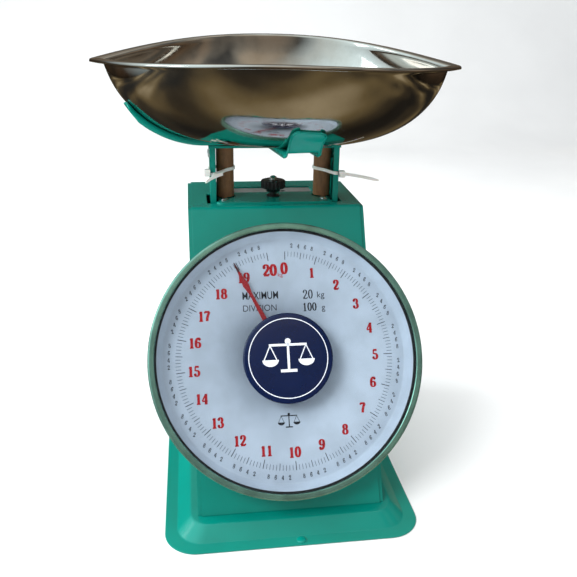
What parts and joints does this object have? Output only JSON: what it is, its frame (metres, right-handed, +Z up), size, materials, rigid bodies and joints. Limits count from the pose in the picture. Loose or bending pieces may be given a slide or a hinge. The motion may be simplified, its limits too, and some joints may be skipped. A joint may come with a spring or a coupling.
{
  "type": "mechanical dial platform scale",
  "caption": "Mechanical dial platform scale: wedge case on a tray base, round dial, sprung load frame and a boat-shaped pan on a cross-shaped cradle.",
  "frame": {"origin": "middle of the footprint on the bench; X = 0 is the case's own plane of symmetry", "axes": "+Z up, front of the dial towards -Y, +X to the right as seen from the front"},
  "size_m": [0.3188, 0.309, 0.38],
  "materials": {
    "green_enamel": "glossy baked enamel",
    "polished_steel": "mirror-polished stainless steel",
    "chrome": "bright chrome plate",
    "bright_steel": "bright turned steel",
    "zinc_plate": "galvanised sheet",
    "brass": "turned brass",
    "spring_steel": "oiled spring wire",
    "dial_white": "satin white print ground",
    "clear_glass": "clear flat glass",
    "black_rubber": "matt black",
    "navy_disc": "glossy navy",
    "pointer_red": "satin red paint",
    "black_plastic": "moulded, slightly glossy",
    "white_nylon": "natural white",
    "brown_board": "wound brown paperboard"
  },
  "bodies": {
    "case": {"base_tray": "green_enamel", "cover_sheet": "green_enamel", "left_side_panel": "green_enamel", "right_side_panel": "green_enamel", "rear_cover": "green_enamel", "case_screws": "zinc_plate", "rear_cover_screws": "zinc_plate", "cover_screws": "bright_steel", "top_bracket": "zinc_plate", "lever_bracket": "zinc_plate", "dial_case": "dial_white", "dial_case_screws": "zinc_plate", "dial_plate": "dial_white", "dial_plate_screws": "zinc_plate", "gasket": "black_rubber", "dial_glass": "clear_glass", "bezel": "chrome", "medallion": "navy_disc", "movement_front_plate": "brass", "movement_back_plate": "brass", "movement_pillars": "bright_steel", "movement_screws": "zinc_plate", "rack_guide": "white_nylon"},
    "pointer_group": {"pointer": "pointer_red", "pointer_boss": "brass", "pointer_shaft": "bright_steel", "pinion": "brass"},
    "rack_group": {"rack": "bright_steel", "rack_pin": "bright_steel"},
    "load_frame": {"left_post": "green_enamel", "right_post": "green_enamel", "platform_bridge": "green_enamel", "bridge_screws": "zinc_plate", "cross_beam": "zinc_plate", "beam_rivets": "bright_steel", "rack_arm": "zinc_plate", "lever_pins": "bright_steel", "left_transit_tube": "brown_board", "right_transit_tube": "brown_board", "left_cable_tie": "white_nylon", "right_cable_tie": "white_nylon", "pan_cradle": "green_enamel", "cradle_stud": "bright_steel", "left_spring": "spring_steel", "right_spring": "spring_steel", "lower_spring_plugs": "brass"},
    "pan_body": {"pan": "polished_steel"},
    "hanger_group": {"spring_hanger": "zinc_plate", "upper_spring_plugs": "brass"},
    "knob_group": {"zero_screw": "bright_steel", "zero_knob": "black_plastic", "knob_cap": "bright_steel"},
    "upper_lever": {"upper_lever_arms": "zinc_plate", "upper_lever_shaft": "bright_steel"},
    "lower_lever": {"lower_lever_arms": "zinc_plate", "lower_lever_shaft": "bright_steel"}
  },
  "joints": [
    {"name": "load_slide", "type": "slide", "parent": "case", "child": "load_frame", "axis": [0, 0, -1], "range_m": [0, 0.01847], "stiffness_N_per_m": 11490, "springref_m": -0.002, "deforming": ["left_spring", "right_spring"]},
    {"name": "rack_slide", "type": "slide", "parent": "case", "child": "rack_group", "axis": [0, -0.4879, -0.8729], "range_m": [0, 0.02116]},
    {"name": "pointer_turn", "type": "hinge", "parent": "case", "child": "pointer_group", "pos_m": [0, -0.0702, 0.125], "axis": [0, 0.8729, -0.4879], "range_deg": [0, 378.8]},
    {"name": "pan_lift", "type": "slide", "parent": "load_frame", "child": "pan_body", "axis": [0, 0, 1], "range_m": [0, 0.1]},
    {"name": "zero_knob_turn", "type": "hinge", "parent": "case", "child": "knob_group", "pos_m": [0, 0.034, 0.25], "axis": [0, 0, 1], "range_deg": [-540, 540]},
    {"name": "hanger_slide", "type": "slide", "parent": "case", "child": "hanger_group", "axis": [0, 0, 1], "range_m": [-0.0015, 0.0015], "deforming": ["left_spring", "right_spring"]},
    {"name": "upper_lever_turn", "type": "hinge", "parent": "case", "child": "upper_lever", "pos_m": [0, 0.092, 0.195], "axis": [1, 0, 0], "range_deg": [0, 20.15]},
    {"name": "lower_lever_turn", "type": "hinge", "parent": "case", "child": "lower_lever", "pos_m": [0, 0.092, 0.075], "axis": [1, 0, 0], "range_deg": [0, 20.15]}
  ],
  "couplings": [
    {"joint": "rack_slide", "follows": "load_slide", "ratio": 1.1456},
    {"joint": "pointer_turn", "follows": "load_slide", "rad_per_m": 357.99},
    {"joint": "upper_lever_turn", "follows": "load_slide", "rad_per_m": 19.032},
    {"joint": "lower_lever_turn", "follows": "load_slide", "rad_per_m": 19.032},
    {"joint": "zero_knob_turn", "follows": "hanger_slide", "rad_per_m": -6283.2}
  ]
}
